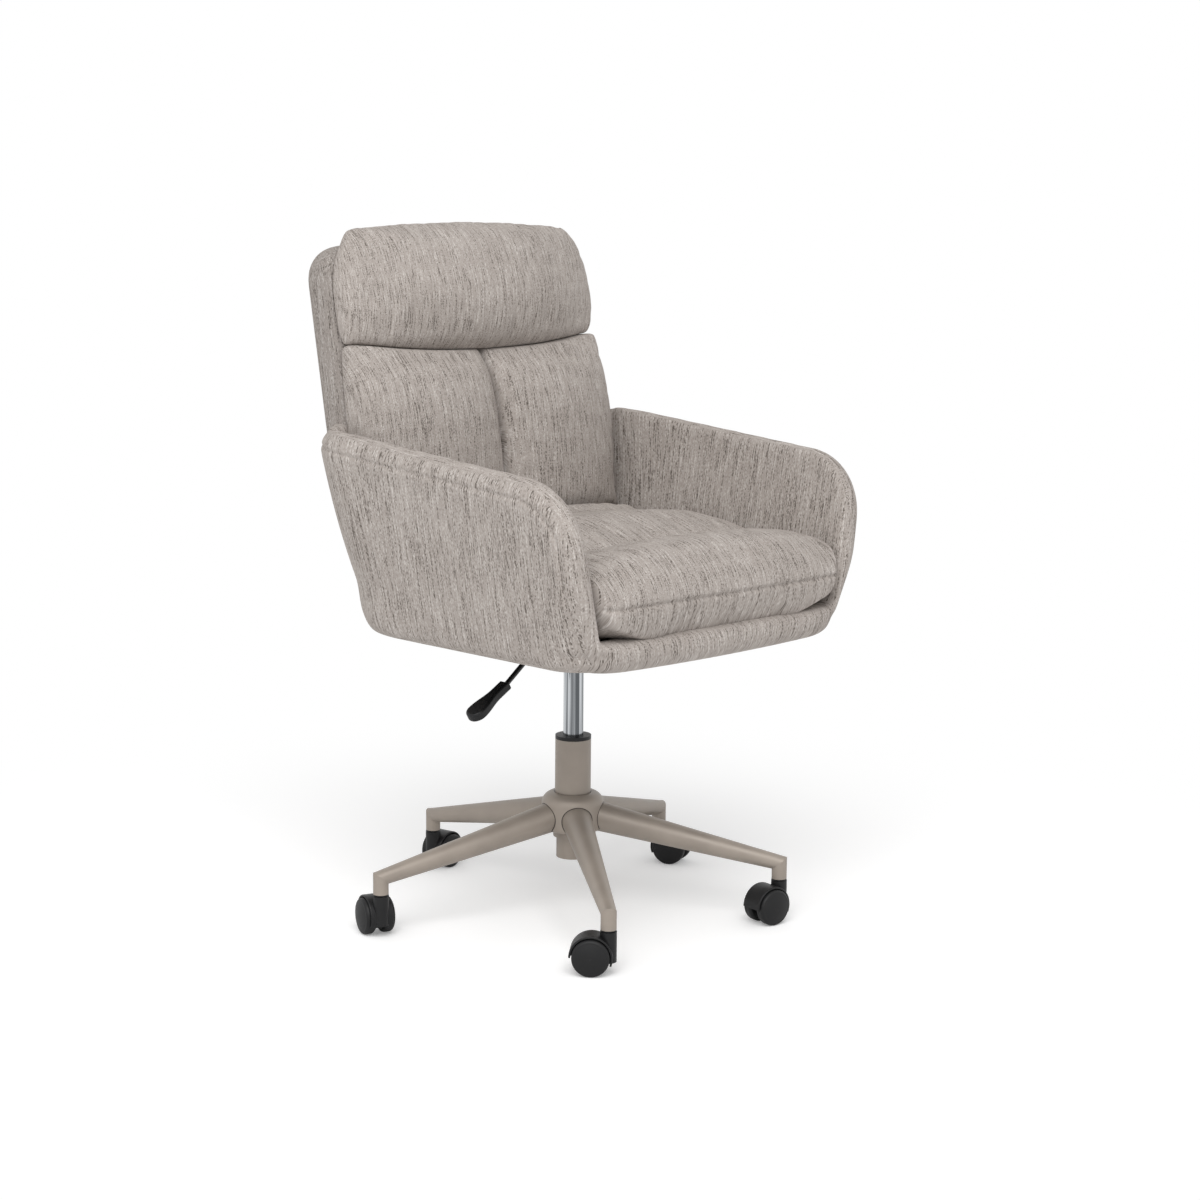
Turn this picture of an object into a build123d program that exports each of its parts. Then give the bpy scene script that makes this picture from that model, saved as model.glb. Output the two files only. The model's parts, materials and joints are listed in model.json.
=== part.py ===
from build123d import *
import math
import os

# Swivel office chair, in millimetres.
# The origin is on the floor under the column, the chair faces -Y and +Z is up.
# The lift is modelled at the top of its stroke.

# Five-arm base
leg_count = 5
first_leg_angle = 90.9
foot_circle_radius = 290.5
leg_root_diameter = 42.0
leg_end_diameter = 21.0
leg_root_axis_z = 138.5
leg_end_axis_z = 82.0
leg_root_gap = 5.0
hub_diameter = 87.0
hub_bottom_z = 119.0
hub_height = 52.0
hub_dome_rise = 16.0
hub_dome_bulge = 5.4
hub_foot_round = 5.0
hub_skirt_diameter = 54.0
hub_skirt_height = 11.0

# Casters
caster_headings = (10.0, 71.0, 131.0, 172.0, 292.0)
caster_height = 60.0
wheel_diameter = 50.0
wheel_width = 15.5
wheel_dome = 3.2
tread_round = 4.5
caster_trail = 22.0
web_thickness = 10.0
wheel_side_gap = 0.6
hood_gap = 1.5
hood_wall = 2.4
hood_cover = 10.5
hood_edge_round = 1.2
hood_front_drop = 11.0
boss_diameter = 22.0
boss_top_gap = 1.5
boss_bottom_z = 17.0
stem_diameter = 11.0
stem_foot_z = 29.0
stem_reach = 22.0
sleeve_wall = 2.0
sleeve_lip = 1.0
axle_diameter = 6.0
axle_grip = 12.0
running_clearance = 0.05

# Column and gas lift
column_diameter = 50.0
column_foot_diameter = 45.0
column_wall = 2.5
column_bottom_z = 78.0
column_top_z = 247.0
column_floor_rise = 4.0
column_floor_thickness = 4.0
guide_length = 60.0
guide_flange_height = 5.0
cylinder_diameter = 28.0
cylinder_wall = 3.0
lift_stroke = 80.0
rod_diameter = 10.0
rod_foot_diameter = 8.0
clip_diameter = 16.0
clip_thickness = 2.0
race_diameter = 24.0
race_thickness = 2.5
ball_diameter = 4.0
ball_count = 10
ball_circle_diameter = 17.0
bumper_diameter = 22.0
bumper_height = 10.0
bumper_gap = 4.0
gland_height = 16.0
piston_height = 12.0
piston_gap = 6.0
bore_spare = 12.0
nose_length = 38.0
nose_taper = 1.43
pin_diameter = 6.0
pin_proud = 6.0

# Seat plate and height lever
socket_wall = 5.0
socket_height = 34.0
plate_width = 170.0
plate_length = 200.0
plate_thickness = 3.0
plate_corner = 18.0
pan_width = 90.0
pan_length = 130.0
pan_depth = 28.0
bolt_diameter = 6.0
bolt_head_diameter = 11.0
bolt_head_height = 4.0
bolt_inset = 16.0
tee_nut_wall = 1.2
tee_nut_flange_diameter = 19.0
tee_nut_flange_thickness = 1.5
lever_rod_diameter = 7.0
lever_pin_diameter = 3.0
lever_pin_gap = 0.3
lever_plate_gap = 1.0
lever_pivot_offset = 34.0
lever_overhang = 7.0
lever_knee_offset = 47.0
lever_knee_round = 16.0
lever_drop_angle = 37.5
lever_drop_length = 102.0
lever_ear_thickness = 3.0
lever_ear_gap = 0.5
lever_ear_margin = 6.0
handle_angle = 30.0
handle_length = 75.0
handle_neck_width = 16.0
handle_neck_length = 20.0
handle_paddle_width = 29.0
handle_thickness = 13.0
handle_edge_round = 3.5
handle_grip_depth = 16.0

# Seat frame
board_bottom_z = 412.0
board_thickness = 15.0
board_bite = 14.0
dust_cover_thickness = 2.0
dust_cover_margin = 8.0

# Upholstered tub
tub_bottom_z = 403.0
tub_bottom_half_width = 255.0
tub_flare = 10.0
tub_wall = 38.0
tub_front_y = -283.0
tub_front_lean = 2.0
arm_crest_z = 666.0
arm_crest_slope = 4.6
arm_nose_round = 92.0
arm_corner_round = 27.0
arm_outer_round = 25.0
arm_inner_round = 10.0
arm_rear_margin = 12.0
rear_corner_low_radius = 130.0
rear_corner_high_radius = 106.0
rail_top_z = 445.0
rail_bow = 9.0
rail_top_round = 13.0
touch = 0.01

# Back shell
back_recline = 10.5
shell_front_y = 151.0
shell_thickness = 57.0
shell_half_width = 236.0
shell_top_z = 915.0
shell_corner_round = 48.0
shell_edge_round = 20.0

# Cushions
cushion_clearance = 3.0
seat_front_y = -294.0
seat_channel_y = -142.0
seat_crown_z = 561.0
seat_corner_drop = 17.0
seat_seam_z = 483.0
seat_front_height = 62.0
seat_front_swell = 5.0
seat_nose_round = 12.0
seat_nose_run = 23.0
seat_nose_drop = 6.0
seat_side_draw = 9.0
seat_channel_depth = 20.0
seat_channel_run = 30.0
seat_channel_shoulder = 4.0
seat_rear_gap = 15.0
seat_rear_drop = 4.0
seat_rear_corner_drop = 8.0
seat_rear_round = 10.0
seat_plug_inset = 16.0
back_half_width = 234.0
back_bottom_z = 530.0
back_seam_z = 786.0
back_crown = 68.0
back_side_depth = 38.0
back_channel_depth = 11.0
back_foot_crown = 60.0
back_end_crown = 44.0
back_end_side = 29.0
back_end_draw = 5.0
back_end_channel = 6.0
back_end_run = 60.0
head_half_width = 233.0
head_height = 157.0
head_crown = 72.0
head_side_depth = 29.0
head_end_crown = 38.0
head_end_side = 22.0
head_seam_draw = 5.0
head_seam_run = 26.0
head_shoulder_draw = 11.0
head_shoulder_run = 36.0
head_shoulder_drop = 11.0
head_top_draw = 34.0

nodes = {}


def disc(diameter, bottom, top, at=(0.0, 0.0)):
    """Upright solid cylinder between two heights."""
    return Pos(at[0], at[1], bottom) * extrude(Circle(diameter / 2), top - bottom)


def ring(outer, inner, bottom, top, at=(0.0, 0.0)):
    """Upright tube between two heights."""
    return disc(outer, bottom, top, at) - disc(inner, bottom, top, at)


def turned(points):
    """Solid of revolution about the column axis, from radius and height points."""
    face = make_face(Polyline(*points, close=True))
    return revolve(Plane.XZ * face, Axis.Z)


def around(count, radius, start=0.0):
    """Plan positions evenly spaced on a circle."""
    step = 2 * math.pi / count
    turns = [math.radians(start) + step * index for index in range(count)]
    return [(radius * math.cos(turn), radius * math.sin(turn)) for turn in turns]


def group(solids):
    """Separate solids kept together in one node."""
    return Compound(children=list(solids))


# Base: hub, legs and stem sleeves
leg_angles = [first_leg_angle + 360.0 / leg_count * index for index in range(leg_count)]
feet = around(leg_count, foot_circle_radius, first_leg_angle)
stub_top_z = leg_end_axis_z + leg_end_diameter
sleeve_outer = stem_diameter + 2 * running_clearance + 2 * sleeve_wall
sleeve_bore = stem_diameter + 2 * running_clearance
stem_top_z = caster_height + stem_reach


def make_leg():
    """One tapered leg along +X, mitred into its upright stub."""
    root_x = column_diameter / 2 + leg_root_gap
    run = foot_circle_radius - root_x
    fall = leg_root_axis_z - leg_end_axis_z
    length = math.hypot(run, fall)
    taper = (leg_root_diameter - leg_end_diameter) / 2 / length
    spare = leg_end_diameter
    axis = Plane(origin=(root_x, 0, leg_root_axis_z), x_dir=(0, 1, 0), z_dir=(run, 0, -fall))
    tip_radius = leg_end_diameter / 2 - taper * spare
    beam = axis.location * Cone(
        leg_root_diameter / 2, tip_radius, length + spare, align=(Align.CENTER, Align.CENTER, Align.MIN)
    )
    stub = disc(leg_end_diameter, caster_height, stub_top_z, (foot_circle_radius, 0))
    mitre_tilt = (math.pi / 2 - math.atan2(fall, run)) / 2
    mitre = Plane(
        origin=(foot_circle_radius, 0, leg_end_axis_z),
        z_dir=(math.sin(mitre_tilt), 0, -math.cos(mitre_tilt)),
    )
    beam = split(beam, bisect_by=mitre, keep=Keep.BOTTOM)
    stub = split(stub, bisect_by=mitre, keep=Keep.TOP)
    bore = disc(sleeve_outer, caster_height, stem_top_z, (foot_circle_radius, 0))
    return beam + stub - bore


leg = make_leg()
legs = [Rot(0, 0, angle) * leg for angle in leg_angles]
for number, solid in enumerate(legs, 1):
    nodes[f"base_leg_{number}"] = solid

hub_top_z = hub_bottom_z + hub_height


def make_hub():
    """Turned hub with a domed top and a skirt round the column's foot, before the leg sockets."""
    bore = column_diameter / 2
    side = hub_diameter / 2
    skirt = hub_skirt_diameter / 2
    shoulder_z = hub_top_z - hub_dome_rise
    skirt_z = hub_bottom_z - hub_skirt_height
    foot_bore = column_foot_diameter / 2
    chord = math.hypot(side - bore, hub_dome_rise)
    crown = (
        (side + bore) / 2 + hub_dome_bulge * hub_dome_rise / chord,
        (hub_top_z + shoulder_z) / 2 + hub_dome_bulge * (side - bore) / chord,
    )
    bulge = hub_foot_round * (1 - math.sqrt(0.5))
    outline = make_face(
        [
            Polyline((bore, hub_top_z), (bore, hub_bottom_z), (foot_bore, hub_bottom_z), (foot_bore, skirt_z)),
            Polyline((foot_bore, skirt_z), (skirt, skirt_z), (skirt, hub_bottom_z)),
            Line((skirt, hub_bottom_z), (side - hub_foot_round, hub_bottom_z)),
            ThreePointArc(
                (side - hub_foot_round, hub_bottom_z),
                (side - bulge, hub_bottom_z + bulge),
                (side, hub_bottom_z + hub_foot_round),
            ),
            Line((side, hub_bottom_z + hub_foot_round), (side, shoulder_z)),
            ThreePointArc((side, shoulder_z), crown, (bore, hub_top_z)),
        ]
    )
    return revolve(Plane.XZ * outline, Axis.Z)


hub = make_hub()
for solid in legs:
    hub = hub - solid
nodes["base_hub"] = hub

sleeves = []
for foot in feet:
    sleeve = ring(sleeve_outer, sleeve_bore, caster_height, stem_top_z, foot)
    lip = ring(leg_end_diameter, sleeve_bore, caster_height - sleeve_lip, caster_height, foot)
    sleeves.append(sleeve + lip)
nodes["stem_sleeves"] = group(sleeves)

# Column: outer tube, guide sleeve and thrust bearing
column_bore = column_diameter - 2 * column_wall
floor_z = column_bottom_z + column_floor_rise
floor_top_z = floor_z + column_floor_thickness
foot_bore = rod_foot_diameter + 2 * running_clearance
column_foot_bore = column_foot_diameter - 2 * column_wall
column = turned(
    [
        (column_foot_bore / 2, column_bottom_z),
        (column_foot_diameter / 2, column_bottom_z),
        (column_foot_diameter / 2, hub_bottom_z),
        (column_diameter / 2, hub_bottom_z),
        (column_diameter / 2, column_top_z),
        (column_bore / 2, column_top_z),
        (column_bore / 2, hub_bottom_z + column_wall),
        (column_foot_bore / 2, hub_bottom_z + column_wall),
    ]
)
nodes["column_tube"] = column + ring(column_foot_bore, foot_bore, floor_z, floor_top_z)

guide_bore = cylinder_diameter + 2 * running_clearance
guide_bottom_z = column_top_z - guide_length
flange_top_z = column_top_z + guide_flange_height
guide = ring(column_bore, guide_bore, guide_bottom_z, column_top_z)
nodes["column_guide"] = guide + ring(column_diameter, guide_bore, column_top_z, flange_top_z)

lower_race_top_z = floor_top_z + race_thickness
ball_centre_z = lower_race_top_z + ball_diameter / 2
upper_race_z = lower_race_top_z + ball_diameter + running_clearance
upper_race_top_z = upper_race_z + race_thickness
nodes["bearing_lower_race"] = ring(race_diameter, foot_bore, floor_top_z, lower_race_top_z)
balls = []
for spot in around(ball_count, ball_circle_diameter / 2):
    balls.append(Pos(spot[0], spot[1], ball_centre_z) * Sphere(ball_diameter / 2))
nodes["bearing_balls"] = group(balls)
nodes["bearing_upper_race"] = ring(race_diameter, rod_foot_diameter, upper_race_z, upper_race_top_z)

# Gas lift: rod, piston, bumper, clip, gland and cylinder
bumper_top_z = upper_race_top_z + bumper_height
cylinder_bottom_z = bumper_top_z + bumper_gap + lift_stroke
gland_top_z = cylinder_bottom_z + gland_height
piston_z = gland_top_z + piston_gap
piston_top_z = piston_z + piston_height
bore_top_z = piston_top_z + lift_stroke + bore_spare
cylinder_bore = cylinder_diameter - 2 * cylinder_wall
clip_top_z = floor_z - running_clearance
clip_z = clip_top_z - clip_thickness

rod = disc(rod_foot_diameter, clip_z, upper_race_top_z)
rod = rod + disc(rod_diameter, upper_race_top_z, piston_z)
rod = rod + disc(rod_foot_diameter, piston_z, piston_top_z)
nodes["piston_rod"] = rod
nodes["rod_clip"] = ring(clip_diameter, rod_foot_diameter, clip_z, clip_top_z)
nodes["rod_bumper"] = ring(bumper_diameter, rod_diameter, upper_race_top_z, bumper_top_z)
nodes["lift_piston"] = ring(
    cylinder_bore - 2 * running_clearance, rod_foot_diameter, piston_z, piston_top_z
)
nodes["cylinder_gland"] = ring(
    cylinder_bore, rod_diameter + 2 * running_clearance, cylinder_bottom_z, gland_top_z
)

dust_cover_z = board_bottom_z - dust_cover_thickness
plate_z = dust_cover_z - plate_thickness
pan_bottom_z = plate_z - pan_depth
lever_axis_z = plate_z - lever_rod_diameter / 2 - lever_plate_gap
pin_top_z = lever_axis_z - lever_rod_diameter / 2 - lever_pin_gap
nose_top_z = pin_top_z - pin_proud
nose_bottom_z = nose_top_z - nose_length
nose_slope = math.tan(math.radians(nose_taper))
nose_top_radius = cylinder_diameter / 2 - nose_slope * nose_length
pin_bore = pin_diameter + 2 * running_clearance
nodes["gas_cylinder"] = turned(
    [
        (cylinder_bore / 2, cylinder_bottom_z),
        (cylinder_diameter / 2, cylinder_bottom_z),
        (cylinder_diameter / 2, nose_bottom_z),
        (nose_top_radius, nose_top_z),
        (pin_bore / 2, nose_top_z),
        (pin_bore / 2, bore_top_z),
        (cylinder_bore / 2, bore_top_z),
    ]
)
nodes["release_pin"] = disc(pin_diameter, bore_top_z, pin_top_z)

# Seat plate with its pan, taper socket and lever ears
socket_top_z = nose_top_z
socket_z = socket_top_z - socket_height
socket_outer = cylinder_diameter + 2 * socket_wall
socket_foot_radius = nose_top_radius + nose_slope * socket_height
nodes["taper_socket"] = turned(
    [
        (socket_foot_radius, socket_z),
        (socket_outer / 2, socket_z),
        (socket_outer / 2, socket_top_z),
        (nose_top_radius, socket_top_z),
    ]
)

plate_outline = RectangleRounded(plate_width, plate_length, plate_corner)
pan_outline = RectangleRounded(pan_width, pan_length, plate_corner / 2)
pan_inner = offset(pan_outline, -plate_thickness)
plate = Pos(0, 0, plate_z) * extrude(plate_outline, plate_thickness)
plate = plate + Pos(0, 0, pan_bottom_z) * extrude(pan_outline, pan_depth)
plate = plate - Pos(0, 0, pan_bottom_z + plate_thickness) * extrude(pan_inner, pan_depth + plate_thickness)
plate = plate - disc(socket_outer, pan_bottom_z, plate_z)

ear_inner_y = lever_rod_diameter / 2 + lever_ear_gap
ear_height = plate_z - pan_bottom_z
ear_length = pan_width / 2 - lever_pivot_offset + lever_ear_margin
ear_x = -pan_width / 2 + ear_length / 2
for side in (-1, 1):
    ear_y = side * (ear_inner_y + lever_ear_thickness / 2)
    ear = Box(ear_length, lever_ear_thickness, ear_height, align=(Align.CENTER, Align.CENTER, Align.MIN))
    plate = plate + Pos(ear_x, ear_y, pan_bottom_z) * ear
slot = Box(pan_width, 2 * ear_inner_y, ear_height, align=(Align.MAX, Align.CENTER, Align.MIN))
slot_x = -pan_width / 2 + plate_thickness
plate = plate - Pos(slot_x, 0, pan_bottom_z + plate_thickness) * slot
pivot = Plane(origin=(-lever_pivot_offset, 0, lever_axis_z), z_dir=(0, 1, 0))
pivot_length = 2 * (ear_inner_y + lever_ear_thickness)
lever_pin = pivot.location * Cylinder(lever_pin_diameter / 2, pivot_length)
nodes["lever_pin"] = lever_pin
plate = plate - lever_pin

bolt_spots = []
for sx in (-1, 1):
    for sy in (-1, 1):
        bolt_spots.append((sx * (plate_width / 2 - bolt_inset), sy * (plate_length / 2 - bolt_inset)))
board_top_z = board_bottom_z + board_thickness
flange_z = board_top_z - tee_nut_flange_thickness
bolts = []
tee_nuts = []
for spot in bolt_spots:
    shank = disc(bolt_diameter, plate_z, flange_z, spot)
    head_outline = RegularPolygon(bolt_head_diameter / 2, 6)
    head = Pos(spot[0], spot[1], plate_z - bolt_head_height) * extrude(head_outline, bolt_head_height)
    bolts.append(shank + head)
    barrel = ring(bolt_diameter + 2 * tee_nut_wall, bolt_diameter, board_bottom_z, flange_z, spot)
    tee_nuts.append(barrel + disc(tee_nut_flange_diameter, flange_z, board_top_z, spot))
    plate = plate - disc(bolt_diameter, plate_z, dust_cover_z, spot)
nodes["plate_bolts"] = group(bolts)
nodes["tee_nuts"] = group(tee_nuts)
nodes["seat_plate"] = plate

# Lever: bent rod and flat paddle handle
drop = math.radians(lever_drop_angle)
tilt = math.radians(handle_angle)
knee = Vector(-lever_knee_offset, 0, lever_axis_z)
grip = knee + Vector(-math.cos(drop), 0, -math.sin(drop)) * lever_drop_length
handle_axis = Vector(-math.cos(tilt), 0, -math.sin(tilt))
rod_end = grip + handle_axis * handle_grip_depth
lever_start = Vector(lever_overhang, 0, lever_axis_z)
lever_path = FilletPolyline(lever_start, knee, grip, rod_end, radius=lever_knee_round)
lever_section = Plane(origin=lever_start, z_dir=(-1, 0, 0)) * Circle(lever_rod_diameter / 2)
lever_rod = sweep(lever_section, path=lever_path)
pin_hole = pivot.location * Cylinder(lever_pin_diameter / 2 + running_clearance, pivot_length)
nodes["lever_rod"] = lever_rod - pin_hole

paddle_start = handle_neck_length
paddle_centre = handle_length - handle_paddle_width / 2
neck_half = handle_neck_width / 2
paddle_half = handle_paddle_width / 2
handle_outline = make_face(
    [
        Line((0, -neck_half), (0, neck_half)),
        Line((0, neck_half), (paddle_start, neck_half)),
        Spline(
            (paddle_start, neck_half),
            (paddle_centre, paddle_half),
            tangents=[(1, 0), (1, 0)],
        ),
        ThreePointArc((paddle_centre, paddle_half), (handle_length, 0), (paddle_centre, -paddle_half)),
        Spline(
            (paddle_centre, -paddle_half),
            (paddle_start, -neck_half),
            tangents=[(-1, 0), (-1, 0)],
        ),
        Line((paddle_start, -neck_half), (0, -neck_half)),
    ]
)
handle_plane = Plane(origin=grip, x_dir=handle_axis, z_dir=(-math.sin(tilt), 0, math.cos(tilt)))
handle = extrude(handle_outline, handle_thickness / 2, both=True)
long_edges = handle.edges().filter_by(Axis.Z, reverse=True)
handle = fillet(long_edges, handle_edge_round)
nodes["lever_handle"] = handle_plane.location * handle - lever_rod

# Tub walls: the side arms lean out by the flare, the back leans by the recline
flare = math.radians(tub_flare)
flare_slope = math.tan(flare)
lean_slope = math.tan(math.radians(tub_front_lean))
recline = math.radians(back_recline)
recline_slope = math.tan(recline)
crest_slope = math.tan(math.radians(arm_crest_slope))
wall_across = tub_wall / math.cos(flare)
shell_across = shell_thickness / math.cos(recline)


def outer_half(z):
    """Outer half width of the tub at a height."""
    return tub_bottom_half_width + (z - tub_bottom_z) * flare_slope


def inner_half(z):
    """Half width between the arms at a height."""
    return outer_half(z) - wall_across


def shell_front(z):
    """Front face of the back shell at a height."""
    return shell_front_y + (z - tub_bottom_z) * recline_slope


def shell_rear(z):
    """Rear face of the back shell at a height."""
    return shell_front(z) + shell_across


def crest(y):
    """Height of the arm's crest line."""
    return arm_crest_z + y * crest_slope


arm_rear_y = shell_rear(tub_bottom_z) - rear_corner_low_radius - arm_rear_margin
loft_top_z = crest(shell_rear(arm_crest_z)) + tub_wall
block_depth = 4 * shell_half_width


def trapezoid(half, bottom, top):
    """Front-view outline between two flared sides."""
    points = [(-half(bottom), bottom), (half(bottom), bottom), (half(top), top), (-half(top), top)]
    return make_face(Polyline(*points, close=True))


def through_y(outline, front, rear):
    """Front-view outline carried from a front plane to a rear plane."""
    return Pos(0, rear, 0) * extrude(Plane.XZ * outline, rear - front)


def side_prism(points, half):
    """Side-view outline carried across the chair."""
    return extrude(Plane.YZ * make_face(Polyline(*points, close=True)), half, both=True)


# Seat board, let into the tub's walls, and the dust cover under it
board_half = inner_half(board_bottom_z) + board_bite
board_front_y = tub_front_y + tub_wall - board_bite
board_rear_y = shell_front(board_bottom_z) + board_bite
board_length = board_rear_y - board_front_y
board_centre_y = (board_front_y + board_rear_y) / 2
board = extrude(RectangleRounded(2 * board_half, board_length, 2 * board_bite), board_thickness)
board_block = Pos(0, board_centre_y, board_bottom_z) * board
board = board_block
for solid in tee_nuts:
    board = board - solid
for solid in bolts:
    board = board - solid
nodes["seat_board"] = board

cover_half = inner_half(dust_cover_z) - dust_cover_margin
cover_front_y = tub_front_y + tub_wall + dust_cover_margin
cover_rear_y = shell_front(dust_cover_z) - dust_cover_margin
cover_outline = RectangleRounded(2 * cover_half, cover_rear_y - cover_front_y, 2 * board_bite)
cover = extrude(cover_outline, dust_cover_thickness)
cover = Pos(0, (cover_front_y + cover_rear_y) / 2, dust_cover_z) * cover
for solid in bolts:
    cover = cover - solid
nodes["dust_cover"] = cover

# Back shell: the tub's rounded rear wall with a reclined panel standing on it
def tub_plan(z, corner_radius):
    """Plan outline of the rear of the tub at a height."""
    half = outer_half(z)
    rear = shell_rear(z)
    points = [(-half, arm_rear_y), (half, arm_rear_y), (half, rear), (-half, rear)]
    outline = make_face(Polyline(*points, close=True))
    corners = outline.vertices().sort_by(Axis.Y)[-2:]
    return Pos(0, 0, z) * fillet(corners, corner_radius)


def rim_edges(face):
    """Edges of a face, apart from those on the plane where the arm meets the back."""
    return face.edges().filter_by(lambda edge: abs(edge.center().Y - arm_rear_y) > touch)


far_z = 2 * shell_top_z
crest_points = [(-block_depth, crest(-block_depth)), (block_depth, crest(block_depth))]
over_crest = side_prism(crest_points + [(block_depth, far_z), (-block_depth, far_z)], block_depth)
tub_foot = tub_plan(tub_bottom_z, rear_corner_low_radius)
tub_head = tub_plan(loft_top_z, rear_corner_high_radius)
wrap = loft([tub_foot, tub_head], ruled=True) - over_crest
wrap_faces = wrap.faces().sort_by(Axis.Z)
wrap = fillet(rim_edges(wrap_faces[0]) + rim_edges(wrap_faces[-1]), arm_outer_round)
between_arms = through_y(trapezoid(inner_half, 0, far_z), tub_front_y - block_depth, block_depth)
hollow_points = [(-block_depth, 0), (shell_front(0), 0), (shell_front(far_z), far_z), (-block_depth, far_z)]
wrap = wrap - (between_arms & side_prism(hollow_points, block_depth))

shell_plane = Plane(
    origin=(0, shell_rear(0), 0), x_dir=(1, 0, 0), z_dir=(0, -math.cos(recline), math.sin(recline))
)
panel_high = shell_top_z / math.cos(recline)
panel_low = arm_crest_z - 2 * shell_corner_round
panel_face = RectangleRounded(2 * shell_half_width, panel_high - panel_low, shell_corner_round)
panel = extrude(Pos(0, (panel_low + panel_high) / 2) * panel_face, shell_thickness)
panel_faces = panel.faces().sort_by(Axis.Z)
panel = fillet(panel_faces[0].edges() + panel_faces[-1].edges(), shell_edge_round)
panel = shell_plane.location * panel
nodes["back_shell"] = wrap + (panel & over_crest) - board_block

# Arms: flared slabs with a rounded nose, butted to the back shell
arm_points = [
    (arm_rear_y, tub_bottom_z),
    (tub_front_y, tub_bottom_z),
    (tub_front_y + (crest(tub_front_y) - tub_bottom_z) * lean_slope, crest(tub_front_y)),
    (arm_rear_y, crest(arm_rear_y)),
]
arm_side = make_face(Polyline(*arm_points, close=True))
front_corners = arm_side.vertices().sort_by(Axis.X)[:2].sort_by(Axis.Y)
arm_side = fillet(front_corners[-1], arm_nose_round)
arm_prism = extrude(Plane.YZ * arm_side, block_depth)


def tub_front_view(y):
    """Outline of the tub seen from the front at one depth, with lower corners that are rounder to the front."""
    forward = (arm_rear_y - y) / (arm_rear_y - tub_front_y)
    corner_radius = arm_outer_round + (arm_corner_round - arm_outer_round) * forward
    outline = trapezoid(outer_half, tub_bottom_z, far_z)
    outline = fillet(outline.vertices().sort_by(Axis.Y)[:2], corner_radius)
    return Plane(origin=(0, y, 0), x_dir=(1, 0, 0), z_dir=(0, -1, 0)).location * outline


def outer_rim(slab):
    """Edges where an arm's outer side meets its crest, nose and front, with the front of its foot."""
    front = slab.faces().sort_by(Axis.Y)[0]
    edges = [front.edges().sort_by(Axis.Z)[0]]
    for face in slab.faces():
        if abs(face.normal_at().X) < touch and face.center().Z > tub_bottom_z + touch:
            for edge in rim_edges(face).filter_by(Axis.X, reverse=True):
                if edge.center().X > inner_half(edge.center().Z) + touch:
                    edges.append(edge)
    return edges


within_outer = loft([tub_front_view(arm_rear_y + tub_wall), tub_front_view(tub_front_y - tub_wall)], ruled=True)
arm_slab = (arm_prism & within_outer) - between_arms
arm_slab = fillet(outer_rim(arm_slab), arm_outer_round)
inner_side = arm_slab.faces().sort_by(SortBy.AREA)[-2:].sort_by(Axis.X)[0]
inner_edges = rim_edges(inner_side).filter_by(lambda edge: edge.center().Z > tub_bottom_z + touch)
arm = fillet(inner_edges, arm_inner_round) - board_block
nodes["arm_left"] = arm
nodes["arm_right"] = mirror(arm, Plane.YZ)

# Front rail, bowed in plan
rail_half = inner_half(rail_top_z) + tub_wall
rail_rear_y = tub_front_y + tub_wall
rail_outline = make_face(
    [
        ThreePointArc((-rail_half, tub_front_y), (0, tub_front_y - rail_bow), (rail_half, tub_front_y)),
        Line((rail_half, tub_front_y), (rail_half, rail_rear_y)),
        Line((rail_half, rail_rear_y), (-rail_half, rail_rear_y)),
        Line((-rail_half, rail_rear_y), (-rail_half, tub_front_y)),
    ]
)
rail = Pos(0, 0, tub_bottom_z) * extrude(rail_outline, rail_top_z - tub_bottom_z)
rail_edges = rail.edges().filter_by(GeomType.CIRCLE).sort_by(Axis.Z)
rail = fillet(rail_edges[0], arm_outer_round)
rail = fillet(rail.edges().filter_by(GeomType.CIRCLE).sort_by(Axis.Z)[-1], rail_top_round)
rail_window = through_y(trapezoid(inner_half, tub_bottom_z, rail_top_z), -block_depth, block_depth)
nodes["front_rail"] = (rail & rail_window) - board_block


# Seat cushion: a puffed front part and a rear part with a sewn channel between
def seat_section(y, low, high, crown, inset=0.0):
    """Closed cross-section of the seat cushion at one depth."""
    middle = (low + high) / 2
    foot = inner_half(low) - cushion_clearance - seat_side_draw - inset
    waist = inner_half(middle) - cushion_clearance - inset
    edge = inner_half(high) - cushion_clearance - seat_side_draw - inset
    outline = make_face(
        [
            Line((-foot, low), (foot, low)),
            ThreePointArc((foot, low), (waist, middle), (edge, high)),
            ThreePointArc((edge, high), (0, crown), (-edge, high)),
            ThreePointArc((-edge, high), (-waist, middle), (-foot, low)),
        ]
    )
    return Plane(origin=(0, y, 0), x_dir=(1, 0, 0), z_dir=(0, -1, 0)).location * outline


seat_low_z = rail_top_z + cushion_clearance
seat_rear_y = shell_front(seat_low_z) - seat_rear_gap
seat_edge_z = seat_crown_z - seat_corner_drop
seam_low_z = seat_seam_z - seat_front_height / 2
seam_high_z = seat_seam_z + seat_front_height / 2
channel_crown = seat_crown_z - seat_channel_depth
channel_edge = seat_edge_z - seat_channel_depth / 2
channel_shoulder_z = seat_crown_z - seat_channel_shoulder
channel_section = seat_section(seat_channel_y, seat_low_z, channel_edge, channel_crown)
front_part = loft(
    [
        seat_section(
            seat_front_y, seam_low_z, seam_high_z, seam_high_z + seat_front_swell, 2 * seat_side_draw
        ),
        seat_section(
            seat_front_y + seat_nose_run, seat_low_z, seat_edge_z - seat_nose_drop, seat_crown_z - seat_nose_drop
        ),
        seat_section((seat_front_y + seat_channel_y) / 2, seat_low_z, seat_edge_z, seat_crown_z),
        seat_section(seat_channel_y - seat_channel_run, seat_low_z, seat_edge_z, channel_shoulder_z),
        channel_section,
    ]
)
front_part = fillet(front_part.faces().sort_by(Axis.Y)[0].edges(), seat_nose_round)
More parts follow.
